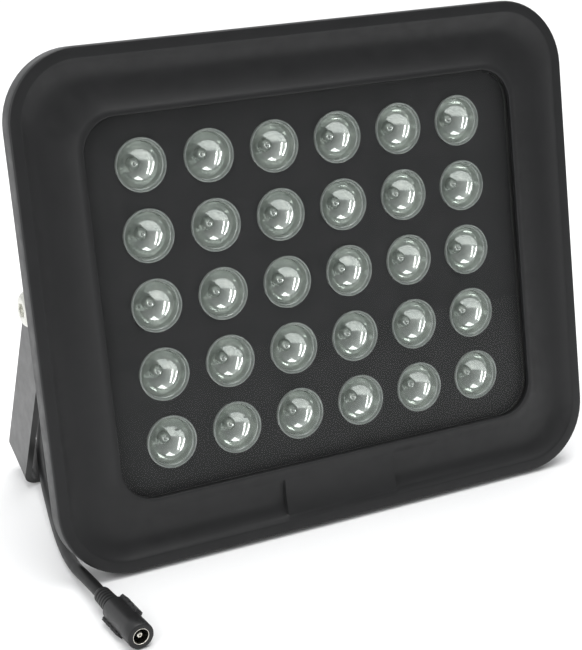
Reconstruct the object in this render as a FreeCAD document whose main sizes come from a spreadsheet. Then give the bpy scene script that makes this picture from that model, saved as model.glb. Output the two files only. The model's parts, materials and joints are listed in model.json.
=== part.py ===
import FreeCAD, Part
import math
import os
import re

import Sketcher

Vector = FreeCAD.Vector
Placement = FreeCAD.Placement
Rotation = FreeCAD.Rotation

# Driving dimensions: lengths in millimetres, angles in degrees.
# The lamp is drawn in its own frame: x to the right, y from the rim backwards, z up the face.
SIZES = {
    # Front frame, and how far it leans back when it rests
    "frame_width": 225.0,
    "frame_height": 186.6,
    "frame_depth": 7.7,
    "frame_corner": 26.0,
    "frame_rounding": 0.8,
    "lean_back": 11.67,
    # Trough between the flat lip and the crest round the window
    "lip_width": 4.2,
    "trough_reach": 12.0,
    "trough_depth": 3.2,
    "crest_inset": 23.7,
    "opening_inset": 24.95,
    "opening_corner": 13.0,
    # Blank pad that crosses the trough under the window
    "pad_width": 47.0,
    "pad_sag": 1.5,
    "pad_edge": 0.15,
    # Window, its seal and the plate that seats the lenses
    "window_recess": 1.6,
    "pane_overlap": 2.9,
    "pane_thick": 2.0,
    "edge_gap": 0.3,
    "seal_width": 2.7,
    "seal_thick": 1.1,
    "lens_columns": 6,
    "lens_rows": 5,
    "lens_side_margin": 12.35,
    "lens_end_margin": 8.45,
    "lens_face": 19.4,
    "lens_length": 10.2,
    "pane_gap": 0.2,
    "seat_gap": 0.05,
    # Emitters, their board and its heat pad
    "emitter_side": 3.5,
    "emitter_height": 0.9,
    "emitter_gap": 0.1,
    "board_side_gap": 7.55,
    "board_end_gap": 5.85,
    "board_thick": 1.6,
    "board_screw_inset": 3.5,
    "heat_pad_inset": 10.0,
    "heat_pad_thick": 0.5,
    "heat_pad_hole": 4.0,
    # Rear housing
    "gasket_thick": 0.8,
    "gasket_inset": 12.5,
    "flange_inset": 3.0,
    "flange_thick": 3.0,
    "cavity_corner": 12.0,
    "floor_thick": 4.0,
    "body_inset": 14.4,
    "body_taper": 23.0,
    "body_corner": 20.0,
    "body_back_corner": 14.0,
    "fin_length": 40.5,
    "fin_thick": 3.0,
    "fin_gap": 7.0,
    "boss_clearance": 1.0,
    "frame_screw_inset": 8.0,
    # Driver bay and its cover
    "bay_width": 90.0,
    "bay_height": 70.0,
    "bay_corner": 8.0,
    "bay_wall": 3.0,
    "bay_proud": 6.0,
    "cover_seal_thick": 0.5,
    "cover_thick": 2.5,
    "cover_screw_inset": 5.5,
    "cover_boss": 4.5,
    "wire_hole": 3.0,
    "wire_hole_across": 28.0,
    # Driver
    "driver_width": 70.0,
    "driver_height": 50.0,
    "driver_thick": 1.6,
    "driver_screw_inset": 4.0,
    "post_radius": 3.0,
    "post_height": 4.0,
    "terminal_width": 11.0,
    "terminal_depth": 8.0,
    "terminal_height": 10.0,
    "wire_radius": 0.8,
    "wire_pitch": 5.0,
    "wire_seat": 2.5,
    "inductor_across": 14.0,
    "inductor_up": 11.0,
    "inductor_radius": 6.0,
    "inductor_height": 8.0,
    "capacitor_radius": 4.0,
    "capacitor_height": 12.0,
    "chip_width": 8.0,
    "chip_height": 1.6,
    "chip_side": 6.0,
    # Screws: the thread's outer radius, and the gaps round it
    "frame_thread": 2.0,
    "frame_thread_depth": 4.0,
    "small_thread": 1.5,
    "small_thread_depth": 3.0,
    "boss_thread_depth": 8.0,
    "thread_gap": 0.05,
    "hole_gap": 0.25,
    "frame_head_radius": 3.5,
    "frame_head_height": 2.4,
    "small_head_radius": 2.7,
    "small_head_height": 1.8,
    # Pivot
    "pivot_depth": 41.5,
    "pivot_thread": 4.0,
    "pivot_gap": 0.08,
    "boss_radius": 11.0,
    "boss_length": 24.45,
    "boss_hole_depth": 12.0,
    "web_thick": 9.0,
    "side_gap": 0.05,
    "friction_radius": 10.0,
    "friction_thick": 1.5,
    "tooth_radius": 7.6,
    "tooth_height": 1.5,
    "tooth_count": 14,
    "tooth_thick": 0.8,
    "bolt_head_radius": 7.0,
    "bolt_head_height": 4.4,
    "bolt_crown": 2.4,
    "bolt_socket": 5.0,
    "bolt_socket_depth": 2.6,
    "bolt_reach": 15.0,
    # Bracket
    "bracket_inset": 14.0,
    "bracket_length": 88.0,
    "strap_width": 20.0,
    "strap_thick": 2.5,
    "strap_bend": 5.5,
    "centre_hole": 10.5,
    "side_hole": 7.0,
    "side_hole_pitch": 60.0,
    # Gland
    "gland_across": -20.0,
    "gland_up": -18.0,
    "gland_thread": 6.2,
    "gland_bore": 4.0,
    "gland_inner_length": 8.5,
    "gland_outer_length": 5.5,
    "gland_flats": 16.0,
    "gland_collar": 5.0,
    "locknut_flats": 17.0,
    "locknut_thick": 4.0,
    "nut_hex_length": 6.5,
    "nut_crown_length": 6.8,
    "nut_mouth": 5.0,
    "nut_gap": 0.2,
    "nut_wall": 0.3,
    "seal_start": 5.0,
    # Cord and jack
    "cord_diameter": 5.2,
    "jack_across": -105.2,
    "jack_turn": 2.74,
    "jack_rest": 5.0,
    "jack_radius": 4.75,
    "jack_length": 20.8,
    "relief_length": 10.5,
    "relief_start": 3.0,
    "relief_end": 3.4,
    "wing_span": 11.2,
    "wing_thick": 3.2,
    "wing_length": 12.0,
    "wing_roll": 43.0,
    "socket_radius": 2.8,
    "sleeve_wall": 0.2,
    "socket_depth": 11.0,
    "socket_recess": 0.3,
    "pin_radius": 1.05,
    "pin_recess": 1.0,
}

# Depths behind the rim, each worked out from what lies in front of it.
PANE_BACK = "(window_recess + pane_thick)"
PLATE_FRONT = "(window_recess + pane_thick + seal_thick)"
LENS_FRONT = "(window_recess + pane_thick + pane_gap)"
LENS_BACK = "(window_recess + pane_thick + pane_gap + lens_length)"
BOARD_FRONT = "(" + LENS_BACK + " + emitter_gap + emitter_height)"
BOARD_BACK = "(" + BOARD_FRONT + " + board_thick)"
FLOOR_FRONT = "(" + BOARD_BACK + " + heat_pad_thick)"
FLOOR_BACK = "(" + FLOOR_FRONT + " + floor_thick)"
FLANGE_FRONT = "(frame_depth + gasket_thick)"
FLANGE_BACK = "(frame_depth + gasket_thick + flange_thick)"
FINS_BACK = "(" + FLANGE_BACK + " + fin_length)"
BAY_BACK = "(" + FINS_BACK + " + bay_proud)"
COVER_FRONT = "(" + BAY_BACK + " + cover_seal_thick)"
COVER_BACK = "(" + COVER_FRONT + " + cover_thick)"
POSTS_BACK = "(" + FLOOR_BACK + " + post_height)"
DRIVER_BACK = "(" + POSTS_BACK + " + driver_thick)"
COLLAR_BACK = "(" + COVER_BACK + " + gland_collar)"
NUT_FRONT = "(" + COLLAR_BACK + " + nut_gap)"
NUT_SHOULDER = "(" + NUT_FRONT + " + nut_hex_length)"
NUT_BACK = "(" + NUT_SHOULDER + " + nut_crown_length)"
SEAL_FRONT = "(" + COVER_BACK + " - seal_start)"

# Widths, heights and corners shared by pieces that fit each other.
OPENING = ("(frame_width - 2 * opening_inset)", "(frame_height - 2 * opening_inset)", "opening_corner")
PANE = (
    "(frame_width - 2 * opening_inset + 2 * pane_overlap)",
    "(frame_height - 2 * opening_inset + 2 * pane_overlap)",
    "(opening_corner + pane_overlap)",
)
REBATE = (
    "(" + PANE[0] + " + 2 * edge_gap)",
    "(" + PANE[1] + " + 2 * edge_gap)",
    "(" + PANE[2] + " + edge_gap)",
)
FLANGE = (
    "(frame_width - 2 * flange_inset)",
    "(frame_height - 2 * flange_inset)",
    "(frame_corner - flange_inset)",
)
BOARD = (
    "(" + OPENING[0] + " - 2 * board_side_gap)",
    "(" + OPENING[1] + " - 2 * board_end_gap)",
    "(board_screw_inset / 2)",
)
HEAT_PAD = ("(" + BOARD[0] + " - 2 * heat_pad_inset)", "(" + BOARD[1] + " - 2 * heat_pad_inset)", BOARD[2])
BAY = ("bay_width", "bay_height", "bay_corner")
BAY_CAVITY = ("(bay_width - 2 * bay_wall)", "(bay_height - 2 * bay_wall)", "(bay_corner - bay_wall)")

# Distances between the middles of neighbouring lenses, which fill the opening up to its margins.
PITCH_ACROSS = "((" + OPENING[0] + " - 2 * lens_side_margin - lens_face) / (lens_columns - 1))"
PITCH_UP = "((" + OPENING[1] + " - 2 * lens_end_margin - lens_face) / (lens_rows - 1))"

# Radius and height of the screws' heads.
SMALL_CAP = ("small_head_radius", "small_head_height")
FRAME_CAP = ("frame_head_radius", "frame_head_height")

# Side stack of the pivot, measured outwards from the middle of the lamp.
ARM_OUTER = "(frame_width / 2 - bracket_inset)"
ARM_INNER = "(" + ARM_OUTER + " - strap_thick)"
FRICTION_INNER = "(" + ARM_INNER + " - side_gap - friction_thick)"
BOSS_ROOT = "(" + FRICTION_INNER + " - boss_length)"
WASHER_INNER = "(" + ARM_OUTER + " + side_gap)"
HEAD_INNER = "(" + WASHER_INNER + " + tooth_thick)"

# Route of the cord over the table, in the finished frame, from the gland to the jack.
CORD_ROUTE = [
    (-27.5, 69.9, 51.8),
    (-42.0, 76.9, 46.5),
    (-60.0, 74.4, 37.5),
    (-76.0, 62.4, 26.5),
    (-87.0, 44.9, 15.0),
    (-93.0, 24.9, 6.8),
    (-97.4, 4.4, 2.9),
    (-102.4, -17.1, 2.9),
    (-105.8, -38.6, 3.0),
    (-105.75, -54.61, 5.0),
]
CORD_FIRST_RUN = 15.0
JACK_START = -66.1

# Share of the shorter run that each arc of the cord takes.
ARC_SHARE = 0.45

os.makedirs("parts", exist_ok=True)
doc = FreeCAD.newDocument("infrared_illuminator")
sheet = doc.addObject("Spreadsheet::Sheet", "Sizes")
pieces = []


def fill_sheet():
    """Writes every driving dimension as a named cell."""
    for row, (alias, value) in enumerate(SIZES.items(), start=1):
        sheet.set("A%d" % row, alias)
        sheet.set("B%d" % row, str(value))
        sheet.setAlias("B%d" % row, alias)
    doc.recompute()


def cell(alias):
    """Reads one driving dimension back from the sheet."""
    return float(sheet.get(alias))


def linked(formula):
    """Names each driving dimension of a formula as a cell of the sheet."""
    return re.sub(r"[a-z_]+", lambda word: "Sizes." + word[0] if word[0] in SIZES else word[0], formula)


def bind(item, sizes):
    """Binds properties of an object to formulas."""
    for name, formula in sizes.items():
        item.setExpression(name, linked(formula))
    return item


def feature(body, kind, name):
    """Adds a feature to a body."""
    return body.newObject(kind, name)


def sketch_on(body, name, role, distance):
    """Adds a sketch on one of the body's own planes, moved along that plane's normal."""
    sketch = body.newObject("Sketcher::SketchObject", name)
    plane = [item for item in body.Origin.OriginFeatures if item.Role == role][0]
    sketch.AttachmentSupport = (plane, [""])
    sketch.MapMode = "FlatFace"
    return bind(sketch, {"AttachmentOffset.Base.z": distance})


def face_sketch(body, name, depth):
    """Adds a sketch parallel to the lamp's face at a depth behind the rim."""
    return sketch_on(body, name, "XZ_Plane", "-(" + depth + ")")


def constrain(sketch, formula, *constraint):
    """Adds a dimension whose value follows a formula."""
    index = sketch.addConstraint(Sketcher.Constraint(*constraint))
    bind(sketch, {"Constraints[%d]" % index: formula})


def pin(sketch, edge, end, across, up):
    """Holds one point of a sketch at two distances from the origin."""
    here = sketch.getPoint(edge, end)
    constrain(sketch, across, "DistanceX", -1, 1, edge, end, here.x)
    constrain(sketch, up, "DistanceY", -1, 1, edge, end, here.y)


def round_rectangle(sketch, width, height, corner):
    """Draws a centred rectangle with round corners."""
    side, rise, turn = 30.0, 20.0, 5.0
    first = sketch.GeometryCount
    ends = [
        (Vector(side - turn, rise, 0), Vector(turn - side, rise, 0)),
        (Vector(-side, rise - turn, 0), Vector(-side, turn - rise, 0)),
        (Vector(turn - side, -rise, 0), Vector(side - turn, -rise, 0)),
        (Vector(side, turn - rise, 0), Vector(side, rise - turn, 0)),
    ]
    across, up = side - turn, rise - turn
    centres = [(-across, up), (-across, -up), (across, -up), (across, up)]
    for index, (start, end) in enumerate(ends):
        sketch.addGeometry(Part.LineSegment(start, end))
        circle = Part.Circle(Vector(*centres[index], 0), Vector(0, 0, 1), turn)
        angle = math.radians(90 + 90 * index)
        sketch.addGeometry(Part.ArcOfCircle(circle, angle, angle + math.pi / 2))
    for index in range(8):
        after = first + (index + 1) % 8
        sketch.addConstraint(Sketcher.Constraint("Tangent", first + index, 2, after, 1))
    for index in (0, 4):
        sketch.addConstraint(Sketcher.Constraint("Horizontal", first + index))
        sketch.addConstraint(Sketcher.Constraint("Vertical", first + index + 2))
    for index in (1, 3, 5):
        sketch.addConstraint(Sketcher.Constraint("Equal", first + index, first + index + 2))
    sketch.addConstraint(Sketcher.Constraint("Symmetric", first, 1, first + 4, 1, -1, 1))
    constrain(sketch, width, "DistanceX", first + 2, 1, first + 6, 1, 2 * side)
    constrain(sketch, height, "DistanceY", first + 4, 1, first, 1, 2 * rise)
    constrain(sketch, corner, "Radius", first + 1, turn)


def outline(sketch, corners):
    """Draws a closed outline of straight edges through corners given as formulas."""
    first = sketch.GeometryCount
    count = len(corners)
    ring = [2 * math.pi * index / count for index in range(count + 1)]
    points = [Vector(10 * math.cos(angle), 10 * math.sin(angle), 0) for angle in ring]
    for start, end in zip(points, points[1:]):
        sketch.addGeometry(Part.LineSegment(start, end))
    for index in range(count):
        after = first + (index + 1) % count
        sketch.addConstraint(Sketcher.Constraint("Coincident", first + index, 2, after, 1))
    for index, (across, up) in enumerate(corners):
        pin(sketch, first + index, 1, across, up)


def circles(sketch, centres, radius):
    """Draws equal circles about centres given as formulas."""
    for across, up in centres:
        edge = sketch.addGeometry(Part.Circle(Vector(1, 1, 0), Vector(0, 0, 1), 1.0))
        pin(sketch, edge, 3, across, up)
        constrain(sketch, radius, "Radius", edge, 1.0)


def pad(body, name, sketch, length, backwards=True):
    """Pads a sketch; one drawn parallel to the face grows backwards."""
    item = feature(body, "PartDesign::Pad", name)
    item.Profile = sketch
    item.Reversed = backwards
    return bind(item, {"Length": length})


def pocket(body, name, sketch, length, forwards=False):
    """Cuts a sketch; one drawn parallel to the face cuts backwards unless told otherwise."""
    item = feature(body, "PartDesign::Pocket", name)
    item.Profile = sketch
    item.Reversed = forwards
    return bind(item, {"Length": length})


def loft(body, name, kind, sections):
    """Lofts through sketches with straight rulings between them."""
    item = feature(body, kind, name)
    item.Profile = sections[0]
    item.Sections = sections[1:]
    item.Ruled = True
    return item


def grid(count, pitch):
    """Returns the places of evenly spaced copies about the middle."""
    return ["(%s * %s)" % (index - (count - 1) / 2, pitch) for index in range(count)]


def four_corners(across, up):
    """Returns the four mirrored copies of a point."""
    return [(i + across, j + up) for i in ("", "-") for j in ("", "-")]


def finish(item, label, place):
    """Names a finished sub-part, places it and lists it for export."""
    item.Label = label
    item.Placement = place
    pieces.append(item)
    return item


def new_body(name):
    """Adds an empty body."""
    return doc.addObject("PartDesign::Body", name)


def slab(label, outer, front, thick, place):
    """Makes a flat sheet with round corners, parallel to the lamp's face."""
    body = new_body(label)
    sketch = face_sketch(body, label + "_outline", front)
    round_rectangle(sketch, *outer)
    pad(body, label + "_pad", sketch, thick)
    return finish(body, label, place)


def ring(label, outer, inner, front, thick, place):
    """Makes a flat ring with round corners, parallel to the lamp's face."""
    body = new_body(label)
    sketch = face_sketch(body, label + "_outline", front)
    round_rectangle(sketch, *outer)
    round_rectangle(sketch, *inner)
    pad(body, label + "_pad", sketch, thick)
    return finish(body, label, place)


def cylinder(name, radius, length, at, along="y"):
    """Adds a cylinder that starts at a point and runs along y, x or z."""
    item = doc.addObject("Part::Cylinder", name)
    turns = {"y": Rotation(Vector(1, 0, 0), -90), "x": Rotation(Vector(0, 1, 0), 90), "z": Rotation()}
    item.Placement = Placement(Vector(), turns[along])
    bind(item, {"Radius": radius, "Height": length})
    return bind(item, {"Placement.Base.x": at[0], "Placement.Base.y": at[1], "Placement.Base.z": at[2]})


def hexagon(name, flats, length, at):
    """Adds a hexagonal prism that starts at a point and runs backwards."""
    item = doc.addObject("Part::Prism", name)
    item.Polygon = 6
    item.Placement = Placement(Vector(), Rotation(Vector(1, 0, 0), -90))
    bind(item, {"Circumradius": "(" + flats + ") / 2 / cos(30)", "Height": length})
    return bind(item, {"Placement.Base.x": at[0], "Placement.Base.y": at[1], "Placement.Base.z": at[2]})


def block(name, size, middle, front):
    """Adds a box that is centred across and up, and starts at a depth."""
    item = doc.addObject("Part::Box", name)
    bind(item, {"Length": size[0], "Width": size[1], "Height": size[2]})
    bind(item, {"Placement.Base.x": "%s - %s / 2" % (middle[0], size[0])})
    bind(item, {"Placement.Base.z": "%s - %s / 2" % (middle[1], size[2])})
    return bind(item, {"Placement.Base.y": front})


def join(name, shapes):
    """Fuses shapes into one."""
    item = doc.addObject("Part::MultiFuse", name)
    item.Shapes = shapes
    return item


def cut(name, base, tool):
    """Cuts one shape out of another."""
    item = doc.addObject("Part::Cut", name)
    item.Base = base
    item.Tool = tool
    return item


def group(label, shapes, place):
    """Gathers identical separate solids in one node."""
    item = doc.addObject("Part::Compound", label)
    item.Links = shapes
    return finish(item, label, place)


def screw(name, at, seat, cap, thread, length, forwards):
    """Makes one screw whose head rests on a face at depth seat; its shank runs forwards or backwards."""
    cap_radius, cap_height = cap
    cap_start = seat if forwards else seat + " - " + cap_height
    shank_start = seat + " - (" + length + ")" if forwards else seat
    top = cylinder(name + "_head", cap_radius, cap_height, (at[0], cap_start, at[1]))
    shank = cylinder(name + "_shank", thread, length, (at[0], shank_start, at[1]))
    return join(name, [top, shank])


def screws(label, places, seat, cap, thread, length, forwards=True):
    """Makes one node of equal screws."""
    made = []
    for index, place in enumerate(places, start=1):
        made.append(screw("%s_%d" % (label, index), place, seat, cap, thread, length, forwards))
    return group(label, made, head)


def head_place():
    """Returns where the lamp's own frame sits when it leans back on the table."""
    lean = math.radians(cell("lean_back"))
    rim_height = cell("frame_height") / 2 * math.cos(lean) + cell("frame_depth") * math.sin(lean)
    return Placement(Vector(0, 0, rim_height), Rotation(Vector(1, 0, 0), -cell("lean_back")))


def pivot_place(side):
    """Returns the frame on the pivot's axis, turned to face one side of the lamp."""
    turn = Rotation(Vector(0, 0, 1), 0 if side > 0 else 180)
    return head.multiply(Placement(Vector(0, cell("pivot_depth"), 0), turn))


def bracket_place():
    """Returns the bracket's frame on the pivot's axis, turned until the crossbar's edge meets the table."""
    pivot = head.multVec(Vector(0, cell("pivot_depth"), 0))
    reach = math.hypot(cell("bracket_length"), cell("strap_width") / 2)
    corner_turn = math.degrees(math.atan2(cell("strap_width") / 2, cell("bracket_length")))
    swing = corner_turn + math.degrees(math.acos(min(1.0, pivot.z / reach)))
    return Placement(pivot, Rotation(Vector(1, 0, 0), swing))


def jack_place():
    """Returns the jack's frame: z along its axis towards the socket, y up."""
    turn = math.radians(cell("jack_turn"))
    axis = Vector(math.sin(turn), -math.cos(turn), 0)
    level = Vector(math.cos(turn), math.sin(turn), 0)
    start = Vector(cell("jack_across"), JACK_START, cell("jack_rest"))
    return Placement(start, Rotation(level, Vector(0, 0, 1), axis, "ZXY"))


def trough_section(body, name, inset, depth):
    """Draws one section of the frame's trough at a distance in from its edge."""
    share = "((%s - lip_width) / (opening_inset - lip_width))" % inset
    corner = "(frame_corner - lip_width) * (1 - %s) + opening_corner * %s" % (share, share)
    sketch = face_sketch(body, name, depth)
    round_rectangle(sketch, "frame_width - 2 * " + inset, "frame_height - 2 * " + inset, corner)
    return sketch


def trough_sections(body, name, start, shares):
    """Draws sections that follow a parabola from a crest at inset start down to the trough's bottom."""
    sections = []
    for index, share in enumerate(shares):
        inset = "(trough_reach + (%s - trough_reach) * %s)" % (start, share)
        depth = "trough_depth * (1 - %s ^ 2)" % share
        sections.append(trough_section(body, "%s_%d" % (name, index), inset, depth))
    return sections


def frame_screw_places():
    """Returns the six places of the screws behind the frame's lip."""
    swing = "(frame_corner - frame_screw_inset) * cos(45)"
    across, up = ["(%s / 2 - frame_corner + %s)" % (size, swing) for size in ("frame_width", "frame_height")]
    middle = "(frame_height / 2 - frame_screw_inset)"
    return four_corners(across, up) + [("0", middle), ("0", "-" + middle)]


def make_front_frame():
    """The bezel: a slab with a trough lofted into its face and a stepped window opening."""
    body = new_body("front_frame")
    rim = face_sketch(body, "frame_outline", "0")
    round_rectangle(rim, "frame_width", "frame_height", "frame_corner")
    plate = pad(body, "frame_plate", rim, "frame_depth")
    doc.recompute()
    edges = ["Edge%d" % (i + 1) for i, edge in enumerate(plate.Shape.Edges) if edge.BoundBox.YMax < 0.01]
    rounding = feature(body, "PartDesign::Fillet", "frame_round")
    rounding.Base = (plate, edges)
    bind(rounding, {"Radius": "frame_rounding"})
    shares = [1.0, 0.75, 0.5, 0.25, 0.0]
    fall = trough_sections(body, "fall", "lip_width", shares)
    loft(body, "trough", "PartDesign::SubtractiveLoft", fall)
    rise = trough_sections(body, "rise", "crest_inset", shares[::-1])
    loft(body, "crest", "PartDesign::AdditiveLoft", rise)
    add_blank_pad(body)
    opening = face_sketch(body, "opening_outline", "0")
    round_rectangle(opening, *OPENING)
    pocket(body, "opening", opening, "frame_depth")
    rebate = face_sketch(body, "rebate_outline", "window_recess")
    round_rectangle(rebate, *REBATE)
    pocket(body, "rebate", rebate, "frame_depth - window_recess")
    holes = face_sketch(body, "frame_threads_outline", "frame_depth")
    circles(holes, frame_screw_places(), "frame_thread + thread_gap")
    pocket(body, "frame_threads", holes, "frame_thread_depth", forwards=True)
    return finish(body, "front_frame", head)


def add_blank_pad(body):
    """Adds the plain hollowed pad that crosses the trough under the window."""
    profile = sketch_on(body, "blank_pad_profile", "YZ_Plane", "0")
    low = "-(frame_height / 2 - lip_width)"
    high = "-(frame_height / 2 - crest_inset)"
    middle = "-(frame_height / 2 - (lip_width + crest_inset) / 2)"
    back = "(frame_depth / 2 + trough_depth / 2)"
    arc = Part.Arc(Vector(0, -20, 0), Vector(3, -10, 0), Vector(0, 0, 0))
    points = [Vector(0, 0, 0), Vector(9, 0, 0), Vector(9, -20, 0), Vector(0, -20, 0)]
    profile.addGeometry(arc)
    for start, end in zip(points, points[1:]):
        profile.addGeometry(Part.LineSegment(start, end))
    for first, second in [((0, 2), (1, 1)), ((1, 2), (2, 1)), ((2, 2), (3, 1)), ((3, 2), (0, 1))]:
        profile.addConstraint(Sketcher.Constraint("Coincident", *first, *second))
    pin(profile, 1, 1, "pad_edge", high)
    pin(profile, 2, 1, back, high)
    pin(profile, 3, 1, back, low)
    pin(profile, 3, 2, "pad_edge", low)
    chord, sag = "(crest_inset - lip_width)", "(pad_sag - pad_edge)"
    constrain(profile, "(%s ^ 2 / 4 + %s ^ 2) / 2 / %s" % (chord, sag, sag), "Radius", 0, 18.0)
    item = pad(body, "blank_pad", profile, "pad_width", backwards=False)
    item.Midplane = True


def make_window_stack():
    """The pane, the ring behind it, and the plate whose seats carry the lenses."""
    slab("window_pane", PANE, "window_recess", "pane_thick", head)
    inner = tuple("(%s - 2 * seal_width)" % size for size in PANE[:2]) + ("(%s - seal_width)" % PANE[2],)
    ring("window_gasket", PANE, inner, PANE_BACK, "seal_thick", head)
    plate = slab("lens_plate", PANE, PLATE_FRONT, "frame_depth - " + PLATE_FRONT, head)
    columns = grid(int(cell("lens_columns")), PITCH_ACROSS)
    rows = grid(int(cell("lens_rows")), PITCH_UP)
    seats = face_sketch(plate, "seats_outline", PLATE_FRONT)
    circles(seats, [(across, up) for up in rows for across in columns], "lens_face / 2 + seat_gap")
    pocket(plate, "seats", seats, "frame_depth - " + PLATE_FRONT)
    for index, up in enumerate(reversed(rows), start=1):
        lenses = [make_lens(index, place, across, up) for place, across in enumerate(columns)]
        group("lens_row_%d" % index, lenses, head)
        emitters = [make_emitter(index, place, across, up) for place, across in enumerate(columns)]
        group("emitter_row_%d" % index, emitters, head)


def make_lens(row, column, across, up):
    """One moulded lens: a straight-sided cup between the pane and the emitters' board."""
    return cylinder("lens_%d_%d" % (row, column), "lens_face / 2", "lens_length", (across, LENS_FRONT, up))


def make_emitter(row, column, across, up):
    """One emitter, square, on the board behind its lens."""
    size = ("emitter_side", "emitter_height", "emitter_side")
    front = LENS_BACK + " + emitter_gap"
    return block("emitter_%d_%d" % (row, column), size, (across, up), front)


def make_led_board():
    """The emitters' board, its heat pad and its screws."""
    places = four_corners(*["(%s / 2 - board_screw_inset)" % size for size in BOARD[:2]])
    board = slab("led_board", BOARD, BOARD_FRONT, "board_thick", head)
    holes = face_sketch(board, "board_holes_outline", BOARD_FRONT)
    circles(holes, places, "small_thread + hole_gap")
    pocket(board, "board_holes", holes, "board_thick")
    heat_pad = slab("thermal_pad", HEAT_PAD, BOARD_BACK, "heat_pad_thick", head)
    window = face_sketch(heat_pad, "heat_pad_hole_outline", BOARD_BACK)
    circles(window, [("wire_hole_across", "0")], "heat_pad_hole")
    pocket(heat_pad, "heat_pad_window", window, "heat_pad_thick")
    length = "board_thick + heat_pad_thick + small_thread_depth - edge_gap"
    screws("board_screws", places, BOARD_FRONT, SMALL_CAP, "small_thread", length, forwards=False)
    return places


def body_section(body, name, depth):
    """Draws the outline of the tapered body at a depth."""
    share = "((%s - %s) / fin_length)" % (depth, FLANGE_BACK)
    sketch = face_sketch(body, name, depth)
    inset = "2 * (body_inset + body_taper * %s)" % share
    corner = "body_corner + (body_back_corner - body_corner) * " + share
    round_rectangle(sketch, "frame_width - " + inset, "frame_height - " + inset, corner)
    return sketch


def make_rear_housing(board_places):
    """The casting: flange, tray with a tapered wall, driver bay, posts and pivot bosses."""
    body = new_body("rear_housing")
    flange = face_sketch(body, "flange_outline", FLANGE_FRONT)
    round_rectangle(flange, *FLANGE)
    pad(body, "flange", flange, "flange_thick")
    tray = [body_section(body, "tray_near", FLANGE_BACK), body_section(body, "tray_far", FLOOR_BACK)]
    loft(body, "tray", "PartDesign::AdditiveLoft", tray)
    bay = face_sketch(body, "bay_outline", FLOOR_FRONT)
    round_rectangle(bay, *BAY)
    pad(body, "bay", bay, "%s - %s" % (BAY_BACK, FLOOR_FRONT))
    add_pivot_bosses(body)
    cavity = face_sketch(body, "cavity_outline", FLANGE_FRONT)
    round_rectangle(cavity, OPENING[0], OPENING[1], "cavity_corner")
    pocket(body, "cavity", cavity, "%s - %s" % (FLOOR_FRONT, FLANGE_FRONT))
    hollow = face_sketch(body, "bay_hollow_outline", FLOOR_BACK)
    round_rectangle(hollow, *BAY_CAVITY)
    pocket(body, "bay_hollow", hollow, "%s - %s" % (BAY_BACK, FLOOR_BACK))
    corner = ("(bay_width / 2 - cover_screw_inset)", "(bay_height / 2 - cover_screw_inset)")
    bosses = face_sketch(body, "cover_bosses_outline", FLOOR_BACK)
    circles(bosses, four_corners(*corner), "cover_boss")
    pad(body, "cover_bosses", bosses, "%s - %s" % (BAY_BACK, FLOOR_BACK))
    posts = face_sketch(body, "driver_posts_outline", FLOOR_BACK)
    circles(posts, driver_places(), "post_radius")
    pad(body, "driver_posts", posts, "post_height")
    drill_housing(body, corner, board_places)
    return finish(body, "rear_housing", head)


def make_cooling_fins():
    """The upright fins on the casting's floor, which stop at the driver bay and short of the bosses."""
    body = new_body("fin_block")
    near, far = body_section(body, "fins_near", FLOOR_BACK), body_section(body, "fins_far", FINS_BACK)
    loft(body, "fin_taper", "PartDesign::AdditiveLoft", [near, far])
    bay = face_sketch(body, "fins_bay_outline", FLOOR_BACK)
    round_rectangle(bay, *BAY)
    pocket(body, "fins_bay", bay, "%s - %s" % (FINS_BACK, FLOOR_BACK))
    band = face_sketch(body, "boss_band_outline", FLOOR_BACK)
    reach, half = "(" + BOSS_ROOT + " - fin_gap / 2)", "(boss_radius + boss_clearance)"
    for sign in ("", "-"):
        root, tip = sign + reach, sign + "(frame_width / 2)"
        outline(band, [(root, "-" + half), (tip, "-" + half), (tip, half), (root, half)])
    pocket(body, "boss_bands", band, "%s - %s" % (FINS_BACK, FLOOR_BACK))
    half_width = cell("frame_width") / 2 - cell("body_inset")
    count = 2 * int(half_width / (cell("fin_thick") + cell("fin_gap"))) - 1
    fins = []
    for index, place in enumerate(grid(count, "(fin_thick + fin_gap)")):
        sheet_size = ("fin_thick", "fin_length", "frame_height")
        plate = block("fin_plate_%d" % index, sheet_size, (place, "0"), FLOOR_BACK)
        fin = doc.addObject("Part::MultiCommon", "fin_%d" % index)
        fin.Shapes = [body, plate]
        fins.append(fin)
    return group("cooling_fins", fins, head)


def add_pivot_bosses(body):
    """Adds a round boss and a web on each side, and drills the bolt's blind hole."""
    for name, sign in (("right", ""), ("left", "-")):
        backwards = sign == "-"
        face = sketch_on(body, name + "_boss_outline", "YZ_Plane", sign + BOSS_ROOT)
        circles(face, [("pivot_depth", "0")], "boss_radius")
        pad(body, name + "_boss", face, "boss_length", backwards)
        web = sketch_on(body, name + "_web_profile", "XY_Plane", "0")
        root, tip = sign + BOSS_ROOT, sign + FRICTION_INNER
        outline(web, [(root, FLANGE_BACK), (tip, FLANGE_BACK), (tip, "pivot_depth"), (root, "pivot_depth")])
        pad(body, name + "_web", web, "web_thick", False).Midplane = True
        hole = sketch_on(body, name + "_bolt_outline", "YZ_Plane", sign + FRICTION_INNER)
        circles(hole, [("pivot_depth", "0")], "pivot_thread + thread_gap")
        pocket(body, name + "_bolt_hole", hole, "boss_hole_depth", backwards)


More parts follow.
